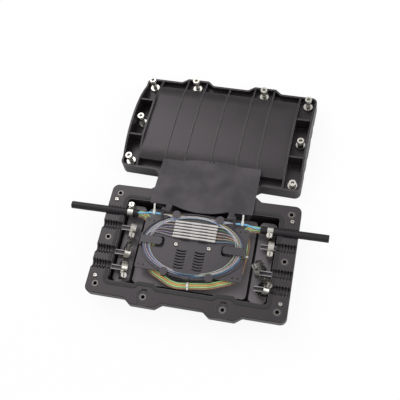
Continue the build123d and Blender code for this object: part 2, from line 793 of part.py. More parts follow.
# Ten socket head bolts and the rubber ring under each head
ring_seat = washer_seat + washer_thickness
with BuildPart(cover) as cover_bolts:
    for (x, y), lift in zip(bolt_sites, bolt_lifts):
        under_head = ring_seat + ring_thickness + lift
        with BuildSketch(cover.offset(under_head - bolt_length)) as shank:
            with Locations((x, y)):
                Circle(bolt_radius)
        extrude(amount=bolt_length)
        with BuildSketch(cover.offset(under_head)) as head:
            with Locations((x, y)):
                Circle(bolt_head_radius)
        extrude(amount=bolt_head_height)
        with BuildSketch(cover.offset(under_head + bolt_head_height)) as socket:
            with Locations((x, y)):
                RegularPolygon(bolt_socket / 2, 6, major_radius=False)
        extrude(amount=-bolt_socket_depth, mode=Mode.SUBTRACT)
cover_bolts.part.label = "cover_bolts"
export_step(cover_bolts.part, "parts/cover_bolts.step")

with BuildPart(cover) as bolt_seal_rings:
    for (x, y), lift in zip(bolt_sites, bolt_lifts):
        with BuildSketch(cover.offset(ring_seat + lift)) as ring:
            with Locations((x, y)):
                Circle(ring_radius)
                Circle(bolt_radius, mode=Mode.SUBTRACT)
        extrude(amount=ring_thickness)
bolt_seal_rings.part.label = "bolt_seal_rings"
export_step(bolt_seal_rings.part, "parts/bolt_seal_rings.step")

# The lid is thrown back about its hinge until its far edge rests on the ribs of the upper shell
lid_reach = lid_far + lid_far_bulge
crown_rise = vault_height - vault_shoulder_height
crown_slope = 2 * atan2(crown_rise, vault_shoulder_y)
roll_run = vault_half_span - vault_shoulder_y
roll_fall = vault_shoulder_height - vault_edge_height
roll_radius = hypot(roll_run, roll_fall) / (2 * sin(atan2(roll_fall, roll_run) - crown_slope))
roll_y = vault_shoulder_y - roll_radius * sin(crown_slope)
roll_z = vault_shoulder_height - roll_radius * cos(crown_slope)
rest_y = cover_y - hinge_y - lid_reach * cos(radians(8.0))
rest_z = tongue_height + roll_z + sqrt(roll_radius ** 2 - (rest_y - roll_y) ** 2) + rib_proud + lid_rest_gap
lid_tilt = degrees(asin((hinge_z - lid_drop - lid_thickness - rest_z) / lid_reach))
lid_frame = Plane(
    origin=(tray_x, hinge_y, hinge_z), x_dir=(1, 0, 0),
    z_dir=(0, sin(radians(lid_tilt)), cos(radians(lid_tilt))),
)
with BuildPart(lid_frame) as tray_lid:
    with BuildSketch(lid_frame.offset(-lid_drop - lid_thickness)) as sheet:
        with BuildLine():
            far_bulge = ThreePointArc(
                (-lid_far_bulge_half, lid_far), (0, lid_far + lid_far_bulge), (lid_far_bulge_half, lid_far)
            )
            near_bulge = ThreePointArc(
                (-lid_near_bulge_half, lid_near), (0, lid_near - lid_near_bulge),
                (lid_near_bulge_half, lid_near),
            )
            half = tray_length / 2
            Polyline(far_bulge @ 1, (half, lid_far), (half, lid_near), near_bulge @ 1)
            Polyline(near_bulge @ 0, (-half, lid_near), (-half, lid_far), far_bulge @ 0)
        make_face()
        corners = sheet.vertices().filter_by(lambda v: abs(v.X) > half - 0.01)
        fillet(corners, radius=lid_corner_radius)
        with Locations((-lid_notch_spread / 2, lid_reach), (lid_notch_spread / 2, lid_reach)):
            Rectangle(lid_notch, 3 * lid_notch, mode=Mode.SUBTRACT)
        with Locations((-lid_hinge_x, 0), (lid_hinge_x, 0)):
            Rectangle(lid_arm_width, lid_near + 1.0, align=(Align.CENTER, Align.MIN))
    extrude(amount=lid_thickness)
    for side in (-1, 1):
        with Locations((side * lid_hinge_x, 0, 0)):
            Cylinder(lid_barrel_radius, lid_arm_width, rotation=(0, 90, 0))
        with Locations((side * lid_hinge_x, 0, -lid_drop - lid_thickness)):
            Box(
                lid_arm_width, 2 * lid_barrel_radius * 0.8, lid_drop + lid_thickness,
                align=(Align.CENTER, Align.CENTER, Align.MIN),
            )
        pin_length = lid_ear_gap + lid_pin_length
        with Locations((side * (lid_hinge_x + lid_arm_width / 2 + pin_length / 2), 0, 0)):
            Cylinder(lid_pin_radius, pin_length, rotation=(0, 90, 0))
tray_lid.part.label = "tray_lid"
export_step(tray_lid.part, "parts/tray_lid.step")


def cable(start, end):
    """A straight stub of round cable at the height of the parting plane."""
    with BuildPart() as stub:
        with BuildSketch(Plane((start, port_outer_y, base_height), x_dir=(0, 1, 0), z_dir=(1, 0, 0))):
            Circle(cable_radius)
        extrude(amount=end - start)
    return stub.part


# The two cables, cut off outside and stripped just inside their clamps
for name, start, end in (
    ("cable_left", cable_left_end, cable_left_stripped), ("cable_right", cable_right_stripped, cable_right_end),
):
    with BuildPart() as stub_cable:
        add(cable(start, end))
    stub_cable.part.label = name
    export_step(stub_cable.part, f"parts/{name}.step")


def tube(points, radii, radius):
    """A buffer tube along straight runs joined by tangent arcs."""
    with BuildPart() as sweep_part:
        with BuildLine() as route:
            FilletPolyline(*points, radius=radii)
        start = Plane(origin=route.line @ 0, z_dir=route.line % 0)
        with BuildSketch(start):
            Circle(radius)
        sweep(path=route.line)
    return sweep_part.part


# Blue tubes, from the top of each cable's end to the fibres on the tray
blue_z = deck_top + tray_lip_height + blue_radius + 0.3
blue_start_z = base_height + blue_in_cable
for side, name, start, stop in (
    (-1, "tube_blue_left", cable_left_stripped, -55.0), (1, "tube_blue_right", cable_right_stripped, 52.5),
):
    points = [
        (start, port_outer_y, blue_start_z), (start - side * tube_lead, port_outer_y, blue_start_z),
        (start - side * blue_run, blue_y, blue_z), (stop, blue_y, blue_z),
    ]
    with BuildPart() as blue_tube:
        add(tube(points, [blue_bend, blue_bend], blue_radius))
    blue_tube.part.label = name
    export_step(blue_tube.part, f"parts/{name}.step")

# The express tubes: from the left cable under the tray, out in a loop at its front, under it again,
# round its right end and back to the right cable
loop_z = deck_under - tray_tube_gap
loop_route = [
    (cable_left_stripped, port_outer_y), (cable_left_stripped + tube_lead, port_outer_y), (-64.0, 28.0),
    (-58.0, -36.0), (-17.0, -55.5), (30.0, -49.0), (67.0, -34.0), (71.0, 16.0), (62.0, 41.5),
    (cable_right_stripped - tube_lead, port_outer_y), (cable_right_stripped, port_outer_y),
]
loop_radii = [8.0, 16.0, 24.0, 34.0, 60.0, 24.0, 40.0, 9.0, 8.0]


def beside(route, radii, out):
    """Bends and radii of a route that runs beside another one, out to its right."""
    headings = []
    for (x1, y1), (x2, y2) in zip(route, route[1:]):
        run = hypot(x2 - x1, y2 - y1)
        headings.append(((x2 - x1) / run, (y2 - y1) / run))
    bends = []
    turned = []
    for (x, y), radius, (ax, ay), (bx, by) in zip(route[1:-1], radii, headings, headings[1:]):
        reach = out / (1 + ax * bx + ay * by)
        bends.append((x + reach * (ay + by), y - reach * (ax + bx)))
        turned.append(radius + out * (1 if ax * by > ay * bx else -1))
    return bends, turned


# each express tube's place in their flat row, counted outwards round the loop
express_tubes = {"tube_green_inner": -1.5, "tube_orange": -0.5, "tube_green_outer": 0.5, "tube_brown": 1.5}
row_z = base_height - row_in_cable
for name, place in express_tubes.items():
    row_y = port_outer_y - place * tube_pitch
    bends, turned = beside(loop_route, loop_radii, place * tube_pitch)
    points = [(cable_left_stripped, row_y, row_z), (*bends[0], row_z)]
    points += [(bend_x, bend_y, loop_z) for bend_x, bend_y in bends[1:-1]]
    points += [(*bends[-1], row_z), (cable_right_stripped, row_y, row_z)]
    with BuildPart() as express_tube:
        add(tube(points, turned, tube_radius))
    express_tube.part.label = name
    export_step(express_tube.part, f"parts/{name}.step")


def tie(plane, half_width, radius, tail):
    """A cable tie drawn round tubes that lie side by side, with its head and tail."""
    inner = radius + tie_gap
    outer = inner + tie_thickness
    spread = half_width - radius
    with BuildPart() as strap:
        with BuildSketch(plane):
            RectangleRounded(2 * (outer + spread), 2 * outer, outer - 0.05)
        extrude(amount=tie_width / 2, both=True)
        with BuildSketch(plane):
            with Locations((0, inner)):
                Rectangle(tie_head, tie_head, align=(Align.CENTER, Align.MIN))
        extrude(amount=tie_head / 2, both=True)
        with BuildSketch(plane):
            with Locations((0, inner)):
                Rectangle(tie_thickness, tie_head + tail, align=(Align.CENTER, Align.MIN))
        extrude(amount=tie_width / 2, both=True)
        with BuildSketch(plane):
            RectangleRounded(2 * (inner + spread), 2 * inner, inner - 0.05)
        extrude(amount=tie_width, both=True, mode=Mode.SUBTRACT)
    return strap.part


def loop_plane(run, share):
    """Plane across the express tubes, part of the way along one run of their route."""
    (x1, y1), (x2, y2) = loop_route[run], loop_route[run + 1]
    along = Vector(x2 - x1, y2 - y1, 0).normalized()
    return Plane(
        origin=(x1 + share * (x2 - x1), y1 + share * (y2 - y1), loop_z),
        x_dir=Vector(0, 0, 1).cross(along), z_dir=along,
    )


# Cable ties round the blue tubes and round the express tubes
loop_half_width = 1.5 * tube_pitch + tube_radius
with BuildPart() as cable_ties:
    for x in (-65.0, 61.0):
        across_blue = Plane(origin=(x, blue_y, blue_z), x_dir=(0, 0.6, -0.8), z_dir=(1, 0, 0))
        add(tie(across_blue, blue_radius, blue_radius, blue_tie_tail))
    add(tie(loop_plane(4, 0.4), loop_half_width, tube_radius, loop_tie_tail))
    add(tie(loop_plane(6, 0.68), loop_half_width, tube_radius, loop_tie_tail))
cable_ties.part.label = "cable_ties"
export_step(cable_ties.part, "parts/cable_ties.step")

# The wound fibres: an oval band on the tray's deck, under its tabs, and a fan to each sleeves' end
with BuildPart() as fibre_bundle:
    extrude(tray_oval(Plane.XY.offset(deck_top + fibre_deck_gap), *fibre_outer), amount=fibre_band_height)
    extrude(
        tray_oval(Plane.XY.offset(deck_top), *fibre_inner), amount=2 * fibre_band_height, mode=Mode.SUBTRACT
    )
    fan_z = deck_top + fibre_deck_gap + fibre_band_height - fan_height
    sleeve_rows = (sleeves - 1) / 2 * sleeve_pitch
    for side in (-1, 1):
        with BuildSketch(Plane.XY.offset(fan_z)) as fan:
            with BuildLine():
                fan_x = tray_x + side * (sleeve_length / 2 + 0.3)
                back_edge = ThreePointArc(
                    (fan_x, sleeve_y + sleeve_rows), (fan_x + side * 15.0, sleeve_y + sleeve_rows - 4.0),
                    (fan_x + side * 32.0, sleeve_y - 7.0),
                )
                front_edge = ThreePointArc(
                    (fan_x, sleeve_y - sleeve_rows), (fan_x + side * 17.0, sleeve_y - sleeve_rows - 2.0),
                    (fan_x + side * 34.0, tray_oval_y + 2.0),
                )
                Line(back_edge @ 0, front_edge @ 0)
                Line(back_edge @ 1, front_edge @ 1)
            make_face()
        extrude(amount=fan_height)
fibre_bundle.part.label = "fibre_bundle"
export_step(fibre_bundle.part, "parts/fibre_bundle.step")


def clamp_frame(x, y, z, seat, head, lean, twist):
    """Frame of a clamp: own x out through the worm's housing, own y along its screw to the head."""
    out = Vector(0, cos(radians(seat)), sin(radians(seat)))
    up = Vector(0, -sin(radians(seat)), cos(radians(seat))) * head
    upright = Plane(origin=(0, 0, 0), x_dir=out, z_dir=out.cross(up))
    return Plane(Location((x, y, z), (0, lean, twist)) * upright.location)


def standing(lean):
    """Height of a loose clamp's centre as it leans with its rim just on the anchor bridge."""
    rise = (loose_inner_radius + band_thickness) * cos(radians(lean))
    return anchor_top + band_rest_gap + rise + band_width / 2 * sin(radians(lean))


def clamp_bore(ring, tight, grow=0.0):
    """Inside outline of a clamp's band: round when loose, drawn to an oval on a cable."""
    with BuildSketch(ring) as bore:
        if tight:
            RectangleRounded(2 * (tight_half + grow), tight_height + 2 * grow, cable_radius + grow)
        else:
            Circle(loose_inner_radius + grow)
    return bore.sketch


def worm_offset(tight):
    """Distance from a clamp's centre to its screw's axis."""
    inner = tight_half if tight else loose_inner_radius
    return inner + band_thickness + housing_height / 2


def clamp_band(ring, tight):
    """A worm-drive band with its housing."""
    worm_x = worm_offset(tight)
    with BuildPart() as band:
        extrude(clamp_bore(ring, tight, band_thickness), amount=band_width / 2, both=True)
        with BuildSketch(ring):
            with Locations((worm_x - 1.2, 0)):
                Rectangle(housing_height + 2.4, housing_length)
        extrude(amount=housing_width / 2, both=True)
        extrude(clamp_bore(ring, tight), amount=band_width, both=True, mode=Mode.SUBTRACT)
        with BuildSketch(ring):
            with Locations((worm_x - housing_height / 2 - 0.2, -housing_length / 2)):
                Rectangle(band_thickness, band_tail, align=(Align.CENTER, Align.MAX))
        extrude(amount=band_width / 2 - 0.4, both=True)
        mouth = Plane(origin=ring.from_local_coords((worm_x, -housing_length, 0)), z_dir=ring.y_dir)
        with BuildSketch(mouth):
            Circle(worm_radius + worm_bore_gap)
        extrude(amount=2 * housing_length, mode=Mode.SUBTRACT)
    return band.part


def clamp_screw(ring, tight):
    """A worm screw with a slotted hexagon head."""
    tip = ring.from_local_coords((worm_offset(tight), -housing_length / 2 + 0.5, 0))
    axis = Plane(origin=tip, x_dir=ring.x_dir, z_dir=ring.y_dir)
    shank = housing_length - 0.5 + worm_head_gap
    with BuildPart() as screw:
        with BuildSketch(axis):
            Circle(worm_radius)
        extrude(amount=shank)
        with BuildSketch(axis.offset(shank)):
            RegularPolygon(worm_head_across / 2, 6, major_radius=False)
        extrude(amount=worm_head_height)
        with BuildSketch(axis.offset(shank + worm_head_height)):
            Rectangle(2 * worm_head_across, worm_slot_width)
        extrude(amount=-worm_slot_depth, mode=Mode.SUBTRACT)
    return screw.part


# Eight hose clamps: tight round each cable and its rest, loose round the six spare rests
tight_z = (tight_top + tight_bottom) / 2
clamps = {
    "left_1": (clamp_frame(-100.5, port_outer_y, tight_z, 0, 1, 0, 0), True),
    "left_2": (clamp_frame(-93.0, port_inner_y - 0.5, standing(22), 180, -1, 22, 0), False),
    "left_3": (clamp_frame(-93.0, -port_inner_y, standing(28), 45, 1, 28, 0), False),
    "left_4": (clamp_frame(-92.0, -port_outer_y, standing(28) + 0.3, 180, -1, 28, 8), False),
    "right_1": (clamp_frame(99.5, port_outer_y, tight_z, 180, -1, 0, 0), True),
    "right_2": (clamp_frame(103.0, port_inner_y, standing(5), 180, -1, 5, 0), False),
    "right_3": (clamp_frame(95.0, -port_inner_y, standing(33), 45, 1, -33, 0), False),
    "right_4": (clamp_frame(101.5, -port_outer_y - 0.5, standing(33), 45, 1, 33, 0), False),
}
for name, (ring, tight) in clamps.items():
    with BuildPart() as hose_clamp:
        add(clamp_band(ring, tight))
    hose_clamp.part.label = f"clamp_{name}"
    export_step(hose_clamp.part, f"parts/clamp_{name}.step")
    with BuildPart() as worm:
        add(clamp_screw(ring, tight))
    worm.part.label = f"clamp_screw_{name}"
    export_step(worm.part, f"parts/clamp_screw_{name}.step")
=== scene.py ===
"""An open horizontal fibre splice closure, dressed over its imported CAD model."""
import bpy
import math
import random
from mathutils import Matrix, Vector


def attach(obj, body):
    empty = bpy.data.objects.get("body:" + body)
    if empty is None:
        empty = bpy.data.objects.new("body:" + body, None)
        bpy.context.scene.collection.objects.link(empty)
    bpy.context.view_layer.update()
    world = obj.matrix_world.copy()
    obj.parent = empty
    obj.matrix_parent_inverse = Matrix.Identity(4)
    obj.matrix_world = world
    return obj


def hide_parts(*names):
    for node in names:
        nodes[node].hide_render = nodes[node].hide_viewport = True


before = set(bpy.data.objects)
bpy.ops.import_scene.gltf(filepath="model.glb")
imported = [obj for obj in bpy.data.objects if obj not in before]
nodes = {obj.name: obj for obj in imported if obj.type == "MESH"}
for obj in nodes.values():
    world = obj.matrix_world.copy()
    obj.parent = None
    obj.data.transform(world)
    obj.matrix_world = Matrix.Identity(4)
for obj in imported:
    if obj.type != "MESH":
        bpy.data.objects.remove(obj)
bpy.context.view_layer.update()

scene = bpy.context.scene

# The camera stands in front of the closure, to its right and well above it, turned a little on its
# own axis so that the closure runs down from the left of the picture to the right.
camera_data = bpy.data.cameras.new("studio_camera")
camera_data.sensor_width = 36.0
camera_data.lens = 53.28
camera = bpy.data.objects.new("studio_camera", camera_data)
camera_right = Vector((0.972, 0.197, -0.125)).normalized()
camera_back = Vector((0.198, -0.411, 0.890)).normalized()
camera_up = camera_back.cross(camera_right).normalized()
camera_right = camera_up.cross(camera_back)
camera_turn = Matrix((camera_right, camera_up, camera_back)).transposed().to_4x4()
camera_place = (0.1604, -0.2718, 0.787)
camera.matrix_world = Matrix.Translation(camera_place) @ camera_turn
scene.collection.objects.link(camera)
scene.camera = camera
scene.view_settings.view_transform = "Standard"

# Two large soft lamps light it, a broad one from the back left and a weaker one from the right.
lamp_aim = Vector((0.0, 0.05, 0.0))
for lamp_name, place, size, power in (
    ("soft_lamp_back_left", (-0.75, 0.75, 1.25), 1.1, 9.0),
    ("soft_lamp_right", (1.1, -0.1, 0.9), 0.8, 6.0),
):
    lamp_data = bpy.data.lights.new(lamp_name, "AREA")
    lamp_data.size = size
    lamp_data.energy = power
    lamp = bpy.data.objects.new(lamp_name, lamp_data)
    lamp.location = place
    lamp.rotation_euler = (lamp_aim - Vector(place)).to_track_quat("-Z", "Y").to_euler()
    scene.collection.objects.link(lamp)

# The studio is white all round to the camera. What metal mirrors is a room with a bright ceiling and
# dimmer walls, so that round steel shows light and dark sides.
studio = bpy.data.worlds.new("white_studio")
scene.world = studio
studio.use_nodes = True
studio_tree = studio.node_tree
studio_tree.nodes.clear()
room = studio_tree.nodes.new("ShaderNodeBackground")
room.inputs["Color"].default_value = (1.0, 1.0, 1.0, 1.0)
room.inputs["Strength"].default_value = 0.75
backdrop = studio_tree.nodes.new("ShaderNodeBackground")
backdrop.inputs["Color"].default_value = (1.0, 1.0, 1.0, 1.0)
mirrored = studio_tree.nodes.new("ShaderNodeBackground")
heading = studio_tree.nodes.new("ShaderNodeTexCoord")
heading_parts = studio_tree.nodes.new("ShaderNodeSeparateXYZ")
ceiling = studio_tree.nodes.new("ShaderNodeMapRange")
ceiling.inputs["From Min"].default_value = 0.25
ceiling.inputs["From Max"].default_value = 0.95
ceiling.inputs["To Min"].default_value = 0.16
ceiling.inputs["To Max"].default_value = 0.95
ray = studio_tree.nodes.new("ShaderNodeLightPath")
bounce = studio_tree.nodes.new("ShaderNodeMixShader")
pick = studio_tree.nodes.new("ShaderNodeMixShader")
studio_out = studio_tree.nodes.new("ShaderNodeOutputWorld")
studio_tree.links.new(heading.outputs["Generated"], heading_parts.inputs[0])
studio_tree.links.new(heading_parts.outputs["Z"], ceiling.inputs["Value"])
studio_tree.links.new(ceiling.outputs["Result"], mirrored.inputs["Color"])
studio_tree.links.new(ray.outputs["Is Glossy Ray"], bounce.inputs[0])
studio_tree.links.new(room.outputs[0], bounce.inputs[1])
studio_tree.links.new(mirrored.outputs[0], bounce.inputs[2])
studio_tree.links.new(ray.outputs["Is Camera Ray"], pick.inputs[0])
studio_tree.links.new(bounce.outputs[0], pick.inputs[1])
studio_tree.links.new(backdrop.outputs[0], pick.inputs[2])
studio_tree.links.new(pick.outputs[0], studio_out.inputs["Surface"])

# The floor is a pale sheet that shows white in the picture and keeps the closure's soft shadow.
floor_reach = 3.0
floor_mesh = bpy.data.meshes.new("floor")
floor_mesh.from_pydata(
    [(x * floor_reach, y * floor_reach, 0.0) for x, y in ((-1, -1), (1, -1), (1, 1), (-1, 1))],
    [], [(0, 1, 2, 3)],
)
floor = bpy.data.objects.new("floor", floor_mesh)
scene.collection.objects.link(floor)
floor_paper = bpy.data.materials.new("pale_paper")
floor_paper.use_nodes = True
paper_tree = floor_paper.node_tree
paper_tree.nodes.clear()
paper = paper_tree.nodes.new("ShaderNodeBsdfDiffuse")
paper.inputs["Color"].default_value = (0.86, 0.86, 0.86, 1.0)
glow = paper_tree.nodes.new("ShaderNodeEmission")
share = paper_tree.nodes.new("ShaderNodeMixShader")
seen = paper_tree.nodes.new("ShaderNodeLightPath")
part_seen = paper_tree.nodes.new("ShaderNodeMath")
part_seen.operation = "MULTIPLY"
part_seen.inputs[1].default_value = 0.9
paper_out = paper_tree.nodes.new("ShaderNodeOutputMaterial")
paper_tree.links.new(seen.outputs["Is Camera Ray"], part_seen.inputs[0])
paper_tree.links.new(part_seen.outputs[0], share.inputs[0])
paper_tree.links.new(paper.outputs[0], share.inputs[1])
paper_tree.links.new(glow.outputs[0], share.inputs[2])
paper_tree.links.new(share.outputs[0], paper_out.inputs["Surface"])
floor_mesh.materials.append(floor_paper)


# Both shells are glass-filled polypropylene, injection moulded in black. The skin has a fine spark grain
# and is a little uneven in gloss. Every edge has the small round of its mould, and its colour is painted
# paler there as a highlight.
def moulded_plastic(name, colour, roughness, grain, edge, blotch=0.12):
    """Black moulded plastic: base colour, mean roughness, grain height and edge round in metres, and
    how far its colour drifts from place to place."""
    gloss_drift = 0.06
    # How much paler the painted highlight makes the rounded edges.
    edge_highlight_lift = 0.16
    plastic = bpy.data.materials.new(name)
    plastic.use_nodes = True
    tree = plastic.node_tree
    skin = tree.nodes["Principled BSDF"]
    skin.inputs["Specular Tint"].default_value = (1.0, 0.93, 0.98, 1.0)

    # Colour and gloss drift together in soft clouds a few centimetres wide.
    tone = tree.nodes.new("ShaderNodeMix")
    tone.data_type = "RGBA"
    tone.inputs["A"].default_value = (*[c * (1.0 - blotch) for c in colour], 1.0)
    tone.inputs["B"].default_value = (*[c * (1.0 + blotch) for c in colour], 1.0)
    patch = tree.nodes.new("ShaderNodeMapRange")
    patch.inputs["From Min"].default_value = 0.38
    patch.inputs["From Max"].default_value = 0.62
    place = tree.nodes.new("ShaderNodeTexCoord")
    cloud = tree.nodes.new("ShaderNodeTexNoise")
    cloud.inputs["Scale"].default_value = 28.0
    cloud.inputs["Detail"].default_value = 4.0
    gloss = tree.nodes.new("ShaderNodeMapRange")
    gloss.inputs["To Min"].default_value = roughness - gloss_drift
    gloss.inputs["To Max"].default_value = roughness + gloss_drift
    tree.links.new(place.outputs["Object"], cloud.inputs["Vector"])
    tree.links.new(cloud.outputs["Fac"], gloss.inputs["Value"])
    tree.links.new(cloud.outputs["Fac"], patch.inputs["Value"])
    tree.links.new(patch.outputs["Result"], tone.inputs["Factor"])
    tree.links.new(gloss.outputs["Result"], skin.inputs["Roughness"])

    # The grain sits on the rounded edges.
    speckle = tree.nodes.new("ShaderNodeTexNoise")
    speckle.inputs["Scale"].default_value = 2400.0
    speckle.inputs["Detail"].default_value = 1.0
    rounding = tree.nodes.new("ShaderNodeBevel")
    rounding.samples = 4
    rounding.inputs["Radius"].default_value = edge
    bump = tree.nodes.new("ShaderNodeBump")
    bump.inputs["Strength"].default_value = 0.35
    bump.inputs["Distance"].default_value = grain
    tree.links.new(place.outputs["Object"], speckle.inputs["Vector"])
    tree.links.new(speckle.outputs["Fac"], bump.inputs["Height"])
    tree.links.new(rounding.outputs["Normal"], bump.inputs["Normal"])
    tree.links.new(bump.outputs["Normal"], skin.inputs["Normal"])

    # Where the round turns the surface, and the edge stands in open air, the skin is painted paler as a
    # highlight.
    flat = tree.nodes.new("ShaderNodeNewGeometry")
    turned = tree.nodes.new("ShaderNodeVectorMath")
    turned.operation = "DOT_PRODUCT"
    edge_share = tree.nodes.new("ShaderNodeMapRange")
    edge_share.inputs["From Min"].default_value = 0.995
    edge_share.inputs["From Max"].default_value = 0.85
    open_air = tree.nodes.new("ShaderNodeAmbientOcclusion")
    open_air.samples = 4
    open_air.inputs["Distance"].default_value = 0.003
    open_share = tree.nodes.new("ShaderNodeMapRange")
    open_share.inputs["From Min"].default_value = 0.6
    open_share.inputs["From Max"].default_value = 0.95
    edge_highlight_share = tree.nodes.new("ShaderNodeMath")
    edge_highlight_share.operation = "MULTIPLY"
    edge_highlight = tree.nodes.new("ShaderNodeMix")
    edge_highlight.data_type = "RGBA"
    edge_highlight.inputs["B"].default_value = (*[c + edge_highlight_lift for c in colour], 1.0)
    tree.links.new(flat.outputs["Normal"], turned.inputs[0])
    tree.links.new(rounding.outputs["Normal"], turned.inputs[1])
    tree.links.new(turned.outputs["Value"], edge_share.inputs["Value"])
    tree.links.new(open_air.outputs["AO"], open_share.inputs["Value"])
    tree.links.new(edge_share.outputs["Result"], edge_highlight_share.inputs[0])
    tree.links.new(open_share.outputs["Result"], edge_highlight_share.inputs[1])
    tree.links.new(edge_highlight_share.outputs[0], edge_highlight.inputs["Factor"])
    tree.links.new(tone.outputs["Result"], edge_highlight.inputs["A"])
    tree.links.new(edge_highlight.outputs["Result"], skin.inputs["Base Color"])
    return plastic


def finish_node(name, material):
    """Give a CAD node its material."""
    piece = nodes[name]
    piece.data.materials.clear()
    piece.data.materials.append(material)


shell_black = (0.0190, 0.0164, 0.0182)
shell_plastic = moulded_plastic("shell_plastic", shell_black, 0.40, 0.00002, 0.0007)
finish_node("lower_shell", shell_plastic)
cover_plastic = moulded_plastic("cover_plastic", shell_black, 0.37, 0.00002, 0.0011)
finish_node("upper_shell", cover_plastic)

# The rims of the lower shell's cable rests are painted pale, a painted highlight where light catches
# their tops. They are found by their place: a stretch of X on both sides of the middle, a thin band of
# Z, and Y between the walls of the cavity.
rest_middle_x, rest_half_length = 0.0990, 0.0108
rest_top_z, rest_top_band = 0.0335, 0.0007
cavity_half_width = 0.055
shell_tree = shell_plastic.node_tree
shell_place = shell_tree.nodes.new("ShaderNodeTexCoord")
shell_parts = shell_tree.nodes.new("ShaderNodeSeparateXYZ")
from_middle = shell_tree.nodes.new("ShaderNodeMath")
from_middle.operation = "ABSOLUTE"
on_rests = shell_tree.nodes.new("ShaderNodeMath")
on_rests.operation = "COMPARE"
on_rests.inputs[1].default_value = rest_middle_x
on_rests.inputs[2].default_value = rest_half_length
at_top = shell_tree.nodes.new("ShaderNodeMath")
at_top.operation = "COMPARE"
at_top.inputs[1].default_value = rest_top_z
at_top.inputs[2].default_value = rest_top_band
from_centre_line = shell_tree.nodes.new("ShaderNodeMath")
from_centre_line.operation = "ABSOLUTE"
between_walls = shell_tree.nodes.new("ShaderNodeMath")
between_walls.operation = "LESS_THAN"
between_walls.inputs[1].default_value = cavity_half_width
top_between = shell_tree.nodes.new("ShaderNodeMath")
top_between.operation = "MULTIPLY"
on_rest_highlight = shell_tree.nodes.new("ShaderNodeMath")
on_rest_highlight.operation = "MULTIPLY"
# The pale colour of the painted highlight on the rests' tops.
rest_highlight = shell_tree.nodes.new("ShaderNodeMix")
rest_highlight.data_type = "RGBA"
rest_highlight.inputs["B"].default_value = (0.34, 0.33, 0.34, 1.0)
shell_skin = shell_tree.nodes["Principled BSDF"]
shell_tree.links.new(shell_place.outputs["Object"], shell_parts.inputs[0])
shell_tree.links.new(shell_parts.outputs["X"], from_middle.inputs[0])
shell_tree.links.new(from_middle.outputs[0], on_rests.inputs[0])
shell_tree.links.new(shell_parts.outputs["Y"], from_centre_line.inputs[0])
shell_tree.links.new(from_centre_line.outputs[0], between_walls.inputs[0])
shell_tree.links.new(shell_parts.outputs["Z"], at_top.inputs[0])
shell_tree.links.new(at_top.outputs[0], top_between.inputs[0])
shell_tree.links.new(between_walls.outputs[0], top_between.inputs[1])
shell_tree.links.new(on_rests.outputs[0], on_rest_highlight.inputs[0])
shell_tree.links.new(top_between.outputs[0], on_rest_highlight.inputs[1])
shell_tree.links.new(on_rest_highlight.outputs[0], rest_highlight.inputs["Factor"])
shell_tree.links.new(shell_skin.inputs["Base Color"].links[0].from_socket, rest_highlight.inputs["A"])
shell_tree.links.new(rest_highlight.outputs["Result"], shell_skin.inputs["Base Color"])

# The bridges under the clamps and the plate under the tray are black plastic. They are coloured paler
# and greyer, painted light that lifts them out of the shade of the cavity so that they look as dark as
# the shells.
bridge_plastic = moulded_plastic("bridge_plastic", (0.132, 0.121, 0.129), 0.40, 0.00002, 0.0006)
for bridge in ("anchor_bridge_left", "anchor_bridge_right", "equipment_plate"):
    finish_node(bridge, bridge_plastic)

# The splice tray and the holder pressed into it are black acrylonitrile plastic, a shade glossier.
tray_plastic = moulded_plastic("tray_plastic", (0.033, 0.030, 0.034), 0.36, 0.00001, 0.0003)
finish_node("splice_tray", tray_plastic)
finish_node("splice_holder", tray_plastic)

# The tray's lid is a thin flat moulding, open on its hinge pins, with a dull grained face.
lid_plastic = moulded_plastic("lid_plastic", (0.046, 0.042, 0.046), 0.62, 0.00003, 0.0003, 0.35)
finish_node("tray_lid", lid_plastic)

# The gasket is a soft black rubber strip laid in the flange's groove. Each bolt has a rubber ring.
seal_rubber = bpy.data.materials.new("seal_rubber")
seal_rubber.use_nodes = True
rubber_skin = seal_rubber.node_tree.nodes["Principled BSDF"]
rubber_skin.inputs["Base Color"].default_value = (0.012, 0.011, 0.012, 1.0)
rubber_skin.inputs["Roughness"].default_value = 0.55
finish_node("seal_gasket", seal_rubber)
finish_node("bolt_seal_rings", seal_rubber)
